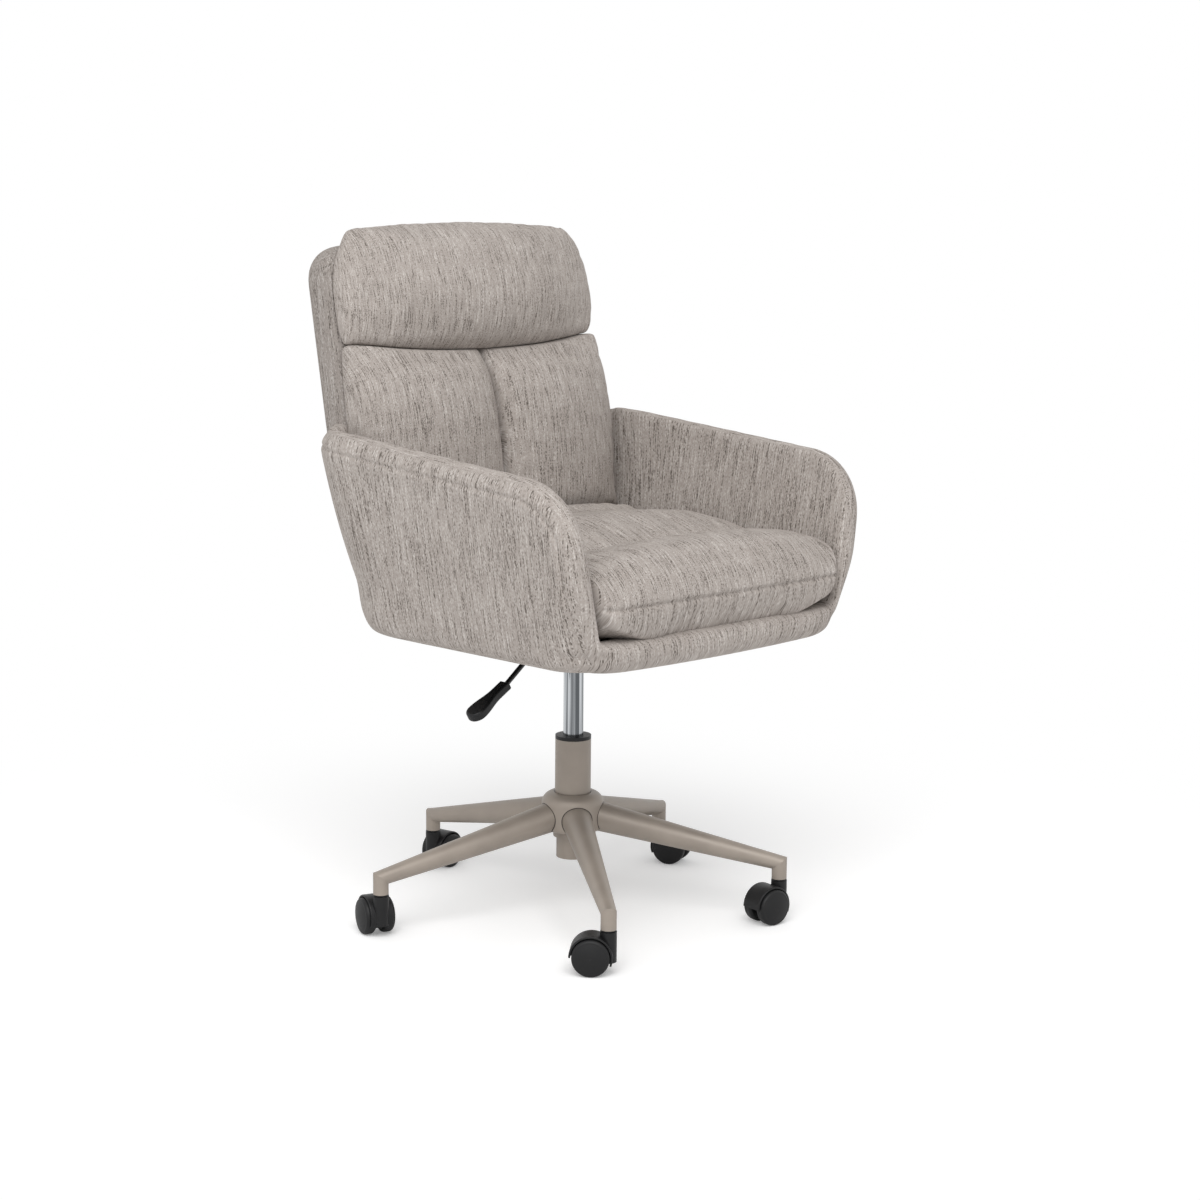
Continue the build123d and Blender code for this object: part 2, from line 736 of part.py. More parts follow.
rear_part = loft(
    [
        channel_section,
        seat_section(seat_channel_y + seat_channel_run, seat_low_z, seat_edge_z, channel_shoulder_z),
        seat_section((seat_channel_y + seat_rear_y) / 2, seat_low_z, seat_edge_z, seat_crown_z),
        seat_section(
            seat_rear_y, seat_low_z, seat_crown_z - seat_rear_corner_drop, seat_crown_z - seat_rear_drop
        ),
    ]
)
plug_half = inner_half(board_top_z) - seat_plug_inset
plug_front_y = rail_rear_y + seat_plug_inset
plug_length = seat_rear_y - seat_plug_inset - plug_front_y
plug = Pos(0, plug_front_y + plug_length / 2, board_top_z) * extrude(
    RectangleRounded(2 * plug_half, plug_length, seat_plug_inset), seat_seam_z - board_top_z
)
# The back cushion stands on a ledge behind the seat's rear crest
crest_y = shell_front(back_bottom_z) - back_crown
ledge_z = back_bottom_z - cushion_clearance
over_ledge = Pos(0, crest_y, ledge_z) * Box(
    block_depth, block_depth, block_depth, align=(Align.CENTER, Align.MIN, Align.MIN)
)
rear_part -= over_ledge
crest_edge = rear_part.edges().filter_by_position(Axis.Y, crest_y - touch, crest_y + touch).sort_by(Axis.Z)[-1]
rear_part = fillet(crest_edge, seat_rear_round)
nodes["seat_cushion"] = front_part + rear_part + plug


# Back cushion and head pad, on the back shell's reclined front face
def back_section(z, half, side, crown, channel=0.0):
    """Closed cross-section of a back pad at one height, square to the recline."""
    shoulder = half - cushion_clearance
    if channel:
        front = [
            ThreePointArc((shoulder, -side), (half / 2, -crown), (0, channel - crown)),
            ThreePointArc((0, channel - crown), (-half / 2, -crown), (-shoulder, -side)),
        ]
    else:
        front = [ThreePointArc((shoulder, -side), (0, -crown), (-shoulder, -side))]
    right = ThreePointArc((shoulder, 0), (half, -side / 2), (shoulder, -side))
    left = ThreePointArc((-shoulder, -side), (-half, -side / 2), (-shoulder, 0))
    outline = make_face([Line((-shoulder, 0), (shoulder, 0)), right, *front, left])
    rise = (0, math.sin(recline), math.cos(recline))
    return Plane(origin=(0, shell_front(z), z), x_dir=(1, 0, 0), z_dir=rise).location * outline


nodes["back_cushion"] = loft(
    [
        back_section(
            back_bottom_z, back_half_width - back_end_draw, back_side_depth, back_foot_crown, back_end_channel
        ),
        back_section(
            back_bottom_z + back_end_run, back_half_width, back_side_depth, back_crown, back_channel_depth
        ),
        back_section(
            back_seam_z - back_end_run, back_half_width, back_side_depth, back_crown, back_channel_depth
        ),
        back_section(
            back_seam_z, back_half_width - back_end_draw, back_end_side, back_end_crown, back_end_channel
        ),
    ]
)

head_seam_z = back_seam_z + cushion_clearance
head_top_z = head_seam_z + head_height
head_shoulder_z = head_top_z - head_shoulder_run
nodes["head_pad"] = loft(
    [
        back_section(head_seam_z, head_half_width - head_seam_draw, head_end_side, head_end_crown),
        back_section(head_seam_z + head_seam_run, head_half_width, head_side_depth, head_crown),
        back_section((head_seam_z + head_top_z) / 2, head_half_width, head_side_depth, head_crown),
        back_section(
            head_shoulder_z,
            head_half_width - head_shoulder_draw,
            head_side_depth,
            head_crown - head_shoulder_drop,
        ),
        back_section(head_top_z, head_half_width - head_top_draw, head_end_side, head_end_crown),
    ]
)

# Casters: each has a hood, a stem, an axle and two wheels, drawn trailing along +X
wheel_radius = wheel_diameter / 2
cavity_radius = wheel_radius + hood_gap
hood_radius = cavity_radius + hood_wall
wheel_inner_y = web_thickness / 2 + wheel_side_gap
hood_half = wheel_inner_y + hood_cover
axle_at = Pos(caster_trail, 0, wheel_radius)
face_left = Rot(-90, 0, 0)
face_right = Rot(90, 0, 0)


def make_wheel():
    """One caster wheel about Z, its inner face at zero and its domed face up."""
    bore = axle_diameter / 2 + running_clearance
    bore_end = axle_grip + running_clearance
    rim = wheel_radius - tread_round
    shoulder = wheel_width - tread_round
    sphere = (rim**2 + wheel_dome**2) / (2 * wheel_dome)
    crown = wheel_width + wheel_dome
    bulge = tread_round * (1 - math.sqrt(0.5))
    half_way = crown - sphere + math.sqrt(sphere**2 - (rim / 2) ** 2)
    outline = make_face(
        [
            Line((bore, 0), (rim, 0)),
            ThreePointArc(
                (rim, 0),
                (wheel_radius - bulge, bulge),
                (wheel_radius, tread_round),
            ),
            Line((wheel_radius, tread_round), (wheel_radius, shoulder)),
            ThreePointArc(
                (wheel_radius, shoulder),
                (wheel_radius - bulge, wheel_width - bulge),
                (rim, wheel_width),
            ),
            ThreePointArc((rim, wheel_width), (rim / 2, half_way), (0, crown)),
            Line((0, crown), (0, bore_end)),
            Line((0, bore_end), (bore, bore_end)),
            Line((bore, bore_end), (bore, 0)),
        ]
    )
    return revolve(Plane.XZ * outline, Axis.Z)


def make_hood():
    """Moulded caster body: web, stem boss and a hood over both wheels."""
    block = Cylinder(hood_radius, 2 * hood_half)
    block = fillet(block.edges().filter_by(GeomType.CIRCLE), hood_edge_round)
    block = axle_at * face_left * block
    sill = Plane(
        origin=(caster_trail + hood_radius, 0, wheel_radius),
        z_dir=(-hood_front_drop, 0, 2 * hood_radius),
    )
    block = split(block, bisect_by=sill, keep=Keep.TOP)
    block = block + disc(boss_diameter, boss_bottom_z, caster_height - sleeve_lip - boss_top_gap)
    cavity = Cylinder(cavity_radius, 2 * hood_half, align=(Align.CENTER, Align.CENTER, Align.MIN))
    for facing in (face_left, face_right):
        block = block - axle_at * facing * Pos(0, 0, web_thickness / 2) * cavity
    return block


wheel = make_wheel()
axle = axle_at * face_left * Cylinder(axle_diameter / 2, 2 * (wheel_inner_y + axle_grip))
stem = disc(stem_diameter, stem_foot_z, stem_top_z)
hood = make_hood() - axle - stem
caster = {
    "hood": hood,
    "stem": stem,
    "axle": axle,
    "wheel_left": axle_at * face_left * Pos(0, 0, wheel_inner_y) * wheel,
    "wheel_right": axle_at * face_right * Pos(0, 0, wheel_inner_y) * wheel,
}
for number, (foot, heading) in enumerate(zip(feet, caster_headings), 1):
    for piece, solid in caster.items():
        nodes[f"caster_{number}_{piece}"] = Pos(*foot) * Rot(0, 0, heading) * solid

os.makedirs("parts", exist_ok=True)
for name, solid in nodes.items():
    export_step(solid, f"parts/{name}.step")
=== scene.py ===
import json
import math

import bmesh
import bpy
import numpy as np
from mathutils import Matrix, Vector


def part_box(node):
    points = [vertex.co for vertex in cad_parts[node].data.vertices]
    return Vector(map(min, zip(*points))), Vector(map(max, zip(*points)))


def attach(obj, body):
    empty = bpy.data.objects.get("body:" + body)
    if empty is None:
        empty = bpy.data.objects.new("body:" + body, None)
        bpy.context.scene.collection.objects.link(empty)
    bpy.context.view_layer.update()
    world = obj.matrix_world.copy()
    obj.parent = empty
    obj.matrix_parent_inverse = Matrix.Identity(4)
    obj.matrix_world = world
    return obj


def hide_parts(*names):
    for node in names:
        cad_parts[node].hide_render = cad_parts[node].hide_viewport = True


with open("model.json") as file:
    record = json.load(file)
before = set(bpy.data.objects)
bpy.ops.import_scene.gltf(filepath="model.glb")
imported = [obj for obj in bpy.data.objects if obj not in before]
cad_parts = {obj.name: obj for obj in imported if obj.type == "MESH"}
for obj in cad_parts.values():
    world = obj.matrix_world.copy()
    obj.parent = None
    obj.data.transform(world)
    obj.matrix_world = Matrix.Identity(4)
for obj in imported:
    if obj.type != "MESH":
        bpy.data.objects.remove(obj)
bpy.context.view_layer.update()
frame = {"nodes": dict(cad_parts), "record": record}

# Camera, fitted to the photograph: metres, degrees, and millimetres of lens and sensor
camera_azimuth = -44.5195
camera_distance = 3.3408
camera_height = 1.0092
camera_pitch = 9.6376
camera_yaw = 0.6064
camera_roll = 0.5646
camera_lens = 73.75
camera_sensor = 36.0

# Stage: metres, watts and strengths of light
lamp_aim = (0, 0, 0.5)
key_place = (-1.9, -2.2, 3.4)
key_size = 2.8
key_power = 95
fill_place = (-2.8, -0.8, 2.6)
fill_size = 2.0
fill_power = 20
sky_strength = 0.64
white_strength = 1.0
floor_half = 14.0
floor_grey = 0.93
floor_lift = 0.2
floor_fade = (0.35, 1.3)

# Colours as they look, 0 to 255
yarn_dark = (95, 88, 82)
yarn_mid = (163, 155, 149)
yarn_pale = (198, 192, 187)
sheen_tint = (236, 228, 220)
taupe_paint = (153, 143, 133)
socket_shadow = (46, 41, 37)
soft_black = (24, 24, 25)
deep_black = (24, 24, 24)
chrome_pale = (202, 205, 208)
chrome_dark = (94, 97, 100)
zinc_grey = (176, 178, 182)
aluminium_grey = (200, 201, 204)
plywood_tan = (190, 160, 124)

# Cloth: threads per metre, noise per metre along a thread, limits of noise and shares of tone
thread_count = 900
thread_scatter = (17.31, 31.73, 0)
speckle_rate = 380
speckle_share = 0.8
speckle_base = 0.1
dot_rate = 300
dot_limits = (0.42, 0.6)
least_dot = 0.35
dark_slub_rate = 24
dark_slub_share = 0.42
pale_slub_rate = 26
pale_slub_share = 0.3
slub_limits = (0.5, 0.68)
cloud_rate = (14, 14, 9)
cloud_share = 0.3
middle_tone = 0.5
shell_shade = 0.76

# Rigid finishes: noise per metre, limits of noise, and metres for the painted shade line in the gaps at the
# hub's sockets
mottle_rate = (22, 22, 22)
mottle_limits = (0.3, 0.7)
gloss_limits = (0.25, 0.75)
gloss_change = 0.12
grain_strength = 0.25
streak_rate = (170, 170, 2)
streak_limits = (0.36, 0.66)
streak_gloss_limits = (0.3, 0.7)
streak_roughness = (0.2, 0.12)
socket_line_edge = 0.0016
socket_line_core = 0.0008

# The chair's lines, as its solids have them: metres, radians and slopes
arm_crest_height = 0.666
arm_crest_slope = math.tan(math.radians(4.6))
arm_flare = math.tan(math.radians(10.0))
arm_nose_round = 0.092
tub_foot_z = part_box("front_rail")[0][2]
tub_foot_half = 0.255
tub_front_y = -0.2865
tub_front_lean = math.tan(math.radians(2.0))
tub_middle = (0.0, -0.03)
back_recline = math.radians(10.5)
shell_front_y = 0.151
seat_front_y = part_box("seat_cushion")[0][1]
seat_seam_z = 0.488
seat_channel_y = -0.142
leg_count = 5
first_leg_angle = math.radians(90.9)
leg_root_reach = 0.030
leg_root_z = 0.1385
leg_root_radius = 0.021
leg_run = 0.2605
leg_fall = 0.0565 / leg_run
leg_taper = 0.0105 / leg_run
column_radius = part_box("column_tube")[1][0]

# How squarely a surface has to face a way to count, from not at all to fully
top_facing = (0.2, 0.6)
front_facing = (0.3, 0.7)
wall_facing = (0.3, 0.8)
rim_facing = (0.5, 0.85)
panel_facing = 0.65

# Upholstery in general: metres, cloth pressure and frames, and shares of filling
weld_distance = 0.00001
remesh_size = 0.0045
least_divisor = 1e-9
least_hold = 0.01
puff_pressure = 4.0
puff_frames = 20
tub_fill = 0.9
seat_fill = 0.8
back_fill = 0.75

# Tub, in metres; a pair holds the two ends of a smooth change
foot_corner_round = 0.075
high_corner_round = 0.03
corner_round_rise = 0.13
foot_edge_round = 0.03
rail_bow_down = 0.002
rail_bow_half = 0.21
rail_foot_z = (0.415, 0.435)
rail_front_y = (-0.25, -0.15)
side_swell = 0.002
rear_swell = 0.006
rear_start_y = (0.02, 0.14)
foot_swell = 0.003
foot_swell_drop = 0.0075
foot_swell_z = (0.43, 0.48)
rim_seam_inset = 0.026
seam_depth = 0.0024
seam_width = 0.0026
rear_lean_y = (0.0, 0.2)
cut_reach = 0.001
panel_tuck = 0.06

# Seat cushion, in metres and shares; a pair holds the two ends of a smooth change
seat_front_zone_y = (-0.29, -0.23)
seat_middle_x = (0.12, 0.225)
seat_corner_x = (0.12, 0.235)
seat_front_stretch = 0.3
seat_corner_lift = 0.4
seat_nose_run = 0.094
seat_nose_height = 0.076
seat_nose_power = 2.0
seat_nose_corner_loss = 0.2
seat_underside_run = 0.03
seat_underside_height = 0.052
seat_underside_power = 2.2
seat_underside_corner_loss = 0.25
seat_inset = 0.004
seat_sewn_foot_z = (0.436, 0.446)
seat_puff_cap = 0.010
seat_puff_slack = 0.015
seat_crest_y = 0.1
seat_crest_width = 0.03
seat_crest_end_y = (0.11, 0.122)
seat_crest_rise = 0.011
seat_crest_side_x = (0.18, 0.235)
seat_crest_side_loss = 0.6
channel_hold_width = 0.008
channel_depth = 0.004
channel_width = 0.005
channel_pucker_width = 0.016
nose_seam_depth = 0.004
nose_pucker_width = 0.012
pucker_pitch = 0.016
pucker_depth = 0.0007
pucker_drift = 3
pucker_drift_rate = 37

# Back cushion and head roll, in metres and shares; a pair holds the two ends of a smooth change
sewn_rear_depth = (0.006, 0.014)
head_sewn_foot = (0.006, 0.016)
pad_sewn_top = (0.006, 0.014)
back_puff_cap = 0.012
back_puff_slack = 0.012
head_corner_round = 0.024
head_top_arch = 0.008
head_arch_half = 0.2
head_arch_run = 0.08
pad_side_swell = 0.012
crease_sag = 0.017
crease_half = 0.235
crease_power = 2.4
crease_reach = 0.07
crease_depth = 0.035
centre_hold_x = -0.009
centre_hold_width = 0.007
centre_seam_foot = (0.004, 0, 0.58)
centre_seam_lean = 0.006
centre_seam_rise = 0.18
centre_seam_depth = 0.024
centre_seam_width = 0.003
centre_seam_cuts = (-2.4, -1.3, -0.7, 0, 0.7, 1.3, 2.4)
centre_roll_depth = 0.008
centre_roll_width = 0.014
pad_front_depth = (0.01, 0.03)
weave_band_height = 0.005
weave_side_half = 0.15
weave_end_reach = 0.04


def linear(colour):
    """Linear RGBA of a colour given as it looks."""
    shares = [channel / 255 for channel in colour]
    return [c / 12.92 if c <= 0.04045 else ((c + 0.055) / 1.055) ** 2.4 for c in shares] + [1.0]


def scaled(colour, factor):
    """Linear RGBA made darker or lighter."""
    return [min(1.0, channel * factor) for channel in colour[:3]] + [1.0]


def smooth_step(low, high, value):
    """0 below low, 1 above high, smooth between."""
    t = np.clip((value - low) / (high - low), 0, 1)
    return t * t * (3 - 2 * t)


def bell(distance, width):
    """1 at no distance, falling away over a width."""
    return np.exp(-((distance / width) ** 2))


def past_round(out_a, out_b, radius):
    """Share of the way back to a corner's centre that brings a point outside the corner's round onto it."""
    reach = np.hypot(out_a, out_b)
    outside = (out_a > 0) & (out_b > 0) & (reach > radius)
    return np.where(outside, 1 - radius / np.maximum(reach, least_divisor), 0)


# Mesh helpers
def coords(mesh):
    """Vertex positions as rows."""
    flat = np.empty(len(mesh.vertices) * 3)
    mesh.vertices.foreach_get("co", flat)
    return flat.reshape(-1, 3)


def place(mesh, points):
    """Sets vertex positions from rows."""
    mesh.vertices.foreach_set("co", points.astype(np.float32).ravel())
    mesh.update()


def normals(mesh):
    """Vertex normals as rows."""
    flat = np.empty(len(mesh.vertices) * 3)
    mesh.vertex_normals.foreach_get("vector", flat)
    return flat.reshape(-1, 3)


def link(piece):
    """Puts a new object into the scene."""
    bpy.context.scene.collection.objects.link(piece)


def cad_copy(name, *nodes):
    """New object holding welded copies of CAD meshes."""
    joined = bmesh.new()
    for node_name in nodes:
        joined.from_mesh(frame["nodes"][node_name].data)
    bmesh.ops.remove_doubles(joined, verts=joined.verts[:], dist=weld_distance)
    mesh = bpy.data.meshes.new(name)
    joined.to_mesh(mesh)
    joined.free()
    piece = bpy.data.objects.new(name, mesh)
    link(piece)
    return piece


def join_into(piece, other):
    """Adds another object's mesh to a piece and removes that object."""
    joined = bmesh.new()
    joined.from_mesh(piece.data)
    joined.from_mesh(other.data)
    joined.to_mesh(piece.data)
    joined.free()
    bpy.data.objects.remove(other)


def cut(mesh, point, direction, **sides):
    """Cuts edges into an edit mesh along a plane."""
    everything = mesh.verts[:] + mesh.edges[:] + mesh.faces[:]
    bmesh.ops.bisect_plane(mesh, geom=everything, plane_co=point, plane_no=direction, **sides)


def apply_modifiers(piece):
    """Keeps what the modifiers make and removes them."""
    seen = piece.evaluated_get(bpy.context.evaluated_depsgraph_get())
    mesh = bpy.data.meshes.new_from_object(seen)
    piece.modifiers.clear()
    piece.data = mesh
    mesh.shade_smooth()


def remesh(piece):
    """Even quads over the joined volume."""
    modifier = piece.modifiers.new("even", "REMESH")
    modifier.mode = "VOXEL"
    modifier.voxel_size = remesh_size
    apply_modifiers(piece)


def soften(piece, rounds):
    """Smooths the whole mesh."""
    modifier = piece.modifiers.new("soft", "SMOOTH")
    modifier.iterations = rounds
    apply_modifiers(piece)


def subdivide(piece):
    """Finer quads for the render."""
    modifier = piece.modifiers.new("fine", "SUBSURF")
    modifier.levels = 1
    modifier.render_levels = 1
    apply_modifiers(piece)


def press(piece, amount):
    """Moves each vertex inward along its normal by its own amount."""
    place(piece.data, coords(piece.data) - normals(piece.data) * amount[:, None])


def fit(piece, node_name):
    """Scales a piece to the box of its CAD solid."""
    low, high = (np.array(corner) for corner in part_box(node_name))
    points = coords(piece.data)
    have = points.max(0) - points.min(0)
    place(piece.data, low + (points - points.min(0)) * (high - low) / have)


def puff(piece, held, cap, slack):
    """Inflates a padded piece as cloth, with held from 0, free, to 1, sewn down, for each vertex."""
    start = coords(piece.data)
    group = piece.vertex_groups.new(name="held")
    for index, weight in enumerate(held):
        if weight > least_hold:
            group.add([index], float(weight), "REPLACE")
    cloth = piece.modifiers.new("cloth", "CLOTH")
    cloth.settings.quality = 5
    cloth.settings.mass = 0.4
    cloth.settings.tension_stiffness = 12
    cloth.settings.compression_stiffness = 12
    cloth.settings.shear_stiffness = 8
    cloth.settings.bending_stiffness = 1.5
    cloth.settings.use_pressure = True
    cloth.settings.uniform_pressure_force = puff_pressure
    cloth.settings.shrink_min = -slack
    cloth.settings.vertex_group_mass = group.name
    cloth.settings.effector_weights.gravity = 0
    cloth.collision_settings.use_collision = False
    cloth.point_cache.frame_end = puff_frames
    scene = bpy.context.scene
    for step in range(1, puff_frames + 1):
        scene.frame_set(step)
    apply_modifiers(piece)
    scene.frame_set(1)
    moved = coords(piece.data) - start
    length = np.linalg.norm(moved, axis=1, keepdims=True)
    place(piece.data, start + moved * np.minimum(1, cap / np.maximum(length, least_divisor)))
    piece.vertex_groups.clear()


def weave(piece, across, side, along):
    """Stores where the cloth's threads run, in metres: two directions across them and one along them."""
    layer = piece.data.attributes.new("weave", "FLOAT_VECTOR", "POINT")
    layer.data.foreach_set("vector", np.stack([across, side, along], 1).astype(np.float32).ravel())


# Material helpers
def node(tree, kind, inputs=None, **settings):
    """Adds a shader node, sets its options and feeds its inputs by value or by link."""
    made = tree.nodes.new(kind)
    for key, value in settings.items():
        setattr(made, key, value)
    for key, value in (inputs or {}).items():
        if isinstance(value, bpy.types.NodeSocket):
            tree.links.new(value, made.inputs[key])
        else:
            made.inputs[key].default_value = value
    return made


def new_material(name):
    """An empty node material with its output."""
    material = bpy.data.materials.new(name)
    material.use_nodes = True
    tree = material.node_tree
    tree.nodes.clear()
    return material, tree, node(tree, "ShaderNodeOutputMaterial")


def math_of(tree, operation, *values):
    """One arithmetic step."""
    made = node(tree, "ShaderNodeMath", dict(enumerate(values)), operation=operation)
    return made.outputs["Value"]


def square(tree, value):
    """A value times itself."""
    return math_of(tree, "MULTIPLY", value, value)


def vector_of(tree, operation, *values):
    """One step of vector arithmetic."""
    made = node(tree, "ShaderNodeVectorMath", dict(enumerate(values)), operation=operation)
    return made.outputs["Value" if operation == "LENGTH" else "Vector"]


def noise_at(tree, vector, rate, shift=(0, 0, 0), detail=2.0, roughness=0.5):
    """Noise value at a coordinate that is scaled and shifted per axis."""
    spot = vector_of(tree, "MULTIPLY_ADD", vector, rate, shift)
    made = node(
        tree,
        "ShaderNodeTexNoise",
        {"Vector": spot, "Scale": 1.0, "Detail": detail, "Roughness": roughness},
    )
    return made.outputs["Fac"]


def thread_noise(tree, thread, rate, shift):
    """Noise that differs from thread to thread and changes along each; shifts keep several noises apart."""
    return noise_at(tree, thread, (1, 1, rate), shift, detail=0.0)


def ramp(tree, value, low, high, to_low=0.0, to_high=1.0):
    """Smooth step of a value between two limits."""
    made = node(
        tree,
        "ShaderNodeMapRange",
        {"Value": value, "From Min": low, "From Max": high, "To Min": to_low, "To Max": to_high},
        interpolation_type="SMOOTHSTEP",
    )
    return made.outputs["Result"]


def mixed(tree, factor, first, second):
    """Colour between two colours; the mix node's colour sockets share names, so they go by number."""
    made = node(tree, "ShaderNodeMix", {"Factor": factor, 6: first, 7: second}, data_type="RGBA")
    return made.outputs[2]


def surface(tree, output, **inputs):
    """Principled surface with its inputs named with underscores for spaces."""
    named = {key.replace("_", " "): value for key, value in inputs.items()}
    shader = node(tree, "ShaderNodeBsdfPrincipled", named)
    tree.links.new(shader.outputs["BSDF"], output.inputs["Surface"])


def bumped(tree, height, strength, distance):
    """Normal of a fine relief."""
    made = node(tree, "ShaderNodeBump", {"Height": height, "Strength": strength, "Distance": distance})
    return made.outputs["Normal"]


# Finishes
def chenille(name, shade=1.0):
    """Heathered woven upholstery: straight threads with pale and dark slubs, dark dots and a sheen."""
    material, tree, output = new_material(name)
    cloth = node(tree, "ShaderNodeAttribute", attribute_name="weave").outputs["Vector"]
    column = vector_of(tree, "MULTIPLY", cloth, (thread_count, thread_count, 0))
    column = vector_of(tree, "MULTIPLY", vector_of(tree, "FLOOR", column), thread_scatter)
    thread = vector_of(tree, "ADD", column, vector_of(tree, "MULTIPLY", cloth, (0, 0, 1)))
    speckle = thread_noise(tree, thread, speckle_rate, (0.4, 0.1, 5.7))
    dots = ramp(tree, thread_noise(tree, thread, dot_rate, (13.7, 7.1, 29)), *dot_limits, to_low=least_dot)
    gaps = math_of(tree, "SUBTRACT", 1 + least_dot, dots)
    dark_slub = ramp(tree, thread_noise(tree, thread, dark_slub_rate, (3.7, 71, 19)), *slub_limits)
    dark_slub = math_of(tree, "MULTIPLY", dark_slub, dots)
    pale_slub = ramp(tree, thread_noise(tree, thread, pale_slub_rate, (33.7, 17, 9)), *slub_limits)
    pale_slub = math_of(tree, "MULTIPLY", pale_slub, gaps)
    cloud = noise_at(tree, cloth, cloud_rate, (13, 5, 2), detail=3.0)
    tone = math_of(tree, "MULTIPLY_ADD", speckle, speckle_share, speckle_base)
    tone = math_of(tree, "ADD", tone, math_of(tree, "MULTIPLY_ADD", cloud, cloud_share, -cloud_share / 2))
    tone = math_of(tree, "MULTIPLY_ADD", pale_slub, pale_slub_share, tone)
    tone = math_of(tree, "MULTIPLY_ADD", dark_slub, -dark_slub_share, tone)
    dark, mid, pale = (scaled(linear(yarn), shade) for yarn in (yarn_dark, yarn_mid, yarn_pale))
    lower = mixed(tree, ramp(tree, tone, 0.0, middle_tone), dark, mid)
    woven = mixed(tree, ramp(tree, tone, middle_tone, 1.0), lower, pale)
    surface(
        tree,
        output,
        Base_Color=woven,
        Roughness=0.92,
        Specular_IOR_Level=0.15,
        Sheen_Weight=0.15,
        Sheen_Roughness=0.45,
        Sheen_Tint=linear(sheen_tint),
        Normal=bumped(tree, tone, strength=0.12, distance=0.001),
    )
    return material


def grained(name, colour, roughness, grain, grain_depth, metallic=0.0, mottling=0.06, shade=None, gloss=0.5):
    """Rigid finish with fine grain, uneven gloss and slight mottling, darkened where shade says so."""
    material, tree, output = new_material(name)
    spot = node(tree, "ShaderNodeTexCoord").outputs["Object"]
    fine = noise_at(tree, spot, (grain, grain, grain))
    broad = noise_at(tree, spot, mottle_rate, (7, 3, 9), detail=3.0)
    darker = scaled(linear(colour), 1 - mottling)
    lighter = scaled(linear(colour), 1 + mottling)
    coat = mixed(tree, ramp(tree, broad, *mottle_limits), darker, lighter)
    if shade:
        coat = mixed(tree, shade(tree, spot), coat, linear(socket_shadow))
    smoothest = roughness * (1 - gloss_change)
    roughest = min(1.0, roughness * (1 + gloss_change))
    surface(
        tree,
        output,
        Base_Color=coat,
        Metallic=metallic,
        Specular_IOR_Level=gloss,
        Roughness=ramp(tree, broad, *gloss_limits, smoothest, roughest),
        Normal=bumped(tree, fine, grain_strength, grain_depth),
    )
    return material


def socket_shade_lines(tree, spot):
    """Painted shade: a dark line on the hub round each leg and round the column, where the gap between the
    parts falls in shadow.
    """
    axes = node(tree, "ShaderNodeSeparateXYZ", {0: spot})
    turn = math_of(tree, "ARCTAN2", axes.outputs["Y"], axes.outputs["X"])
    half_step = math.pi / leg_count
    turn = math_of(tree, "SUBTRACT", turn, first_leg_angle)
    turn = math_of(tree, "WRAP", turn, half_step, -half_step)
    reach = vector_of(tree, "LENGTH", vector_of(tree, "MULTIPLY", spot, (1, 1, 0)))
    out = math_of(tree, "MULTIPLY", reach, math_of(tree, "COSINE", turn))
    out = math_of(tree, "SUBTRACT", out, leg_root_reach)
    aside = math_of(tree, "MULTIPLY", reach, math_of(tree, "SINE", turn))
    above = math_of(tree, "MULTIPLY_ADD", out, leg_fall, axes.outputs["Z"])
    above = math_of(tree, "SUBTRACT", above, leg_root_z)
    above = math_of(tree, "MULTIPLY", above, math.cos(math.atan(leg_fall)))
    from_axis = math_of(tree, "SQRT", math_of(tree, "ADD", square(tree, aside), square(tree, above)))
    leg_gap = math_of(tree, "MULTIPLY_ADD", out, leg_taper, from_axis)
    leg_gap = math_of(tree, "SUBTRACT", leg_gap, leg_root_radius)
    column_gap = math_of(tree, "SUBTRACT", reach, column_radius)
    gap = math_of(tree, "MINIMUM", leg_gap, column_gap)
    return ramp(tree, gap, socket_line_edge, socket_line_core)


def drawn_chrome(name):
    """Bright tube with fine streaks along its length."""
    material, tree, output = new_material(name)
    spot = node(tree, "ShaderNodeTexCoord").outputs["Object"]
    streak = noise_at(tree, spot, streak_rate, (5, 9, 1), roughness=0.6)
    surface(
        tree,
        output,
        Base_Color=mixed(tree, ramp(tree, streak, *streak_limits), linear(chrome_dark), linear(chrome_pale)),
        Metallic=1.0,
        Roughness=ramp(tree, streak, *streak_gloss_limits, *streak_roughness),
    )
    return material


cloth_finish = chenille("chenille")
shell_finish = chenille("chenille_shell", shell_shade)
paint = {"roughness": 0.44, "grain": 1400, "grain_depth": 0.0003, "metallic": 0.2}
moulding = {"grain_depth": 0.0002, "mottling": 0.12, "gloss": 0.3}
bare_metal = {"grain": 1200, "grain_depth": 0.0001, "metallic": 1.0}
finishes = {
    "base_paint": grained("taupe_paint", taupe_paint, **paint),
    "black_plastic": grained("black_moulding", soft_black, roughness=0.42, grain=1800, **moulding),
    "wheel_nylon": grained("black_nylon", soft_black, roughness=0.5, grain=1500, **moulding),
    "chrome": drawn_chrome("chrome"),
    "steel": grained("zinc_steel", zinc_grey, roughness=0.34, **bare_metal),
    "black_steel": grained(
        "black_paint", deep_black, roughness=0.38, grain=1500, grain_depth=0.0002, mottling=0.12
    ),
    "aluminium": grained("aluminium", aluminium_grey, roughness=0.3, **bare_metal),
    "bumper_rubber": grained("rubber", deep_black, roughness=0.7, grain=900, grain_depth=0.0003),
    "plywood": grained(
        "plywood", plywood_tan, roughness=0.7, grain=300, grain_depth=0.0004, mottling=0.15
    ),
    "dust_cloth": grained(
        "dust_cloth", deep_black, roughness=0.95, grain=2200, grain_depth=0.0004, mottling=0.2
    ),
}
# The hub's paint carries a painted shade line in the gaps round the legs and the column.
hub_finish = grained("hub_paint", taupe_paint, shade=socket_shade_lines, **paint)


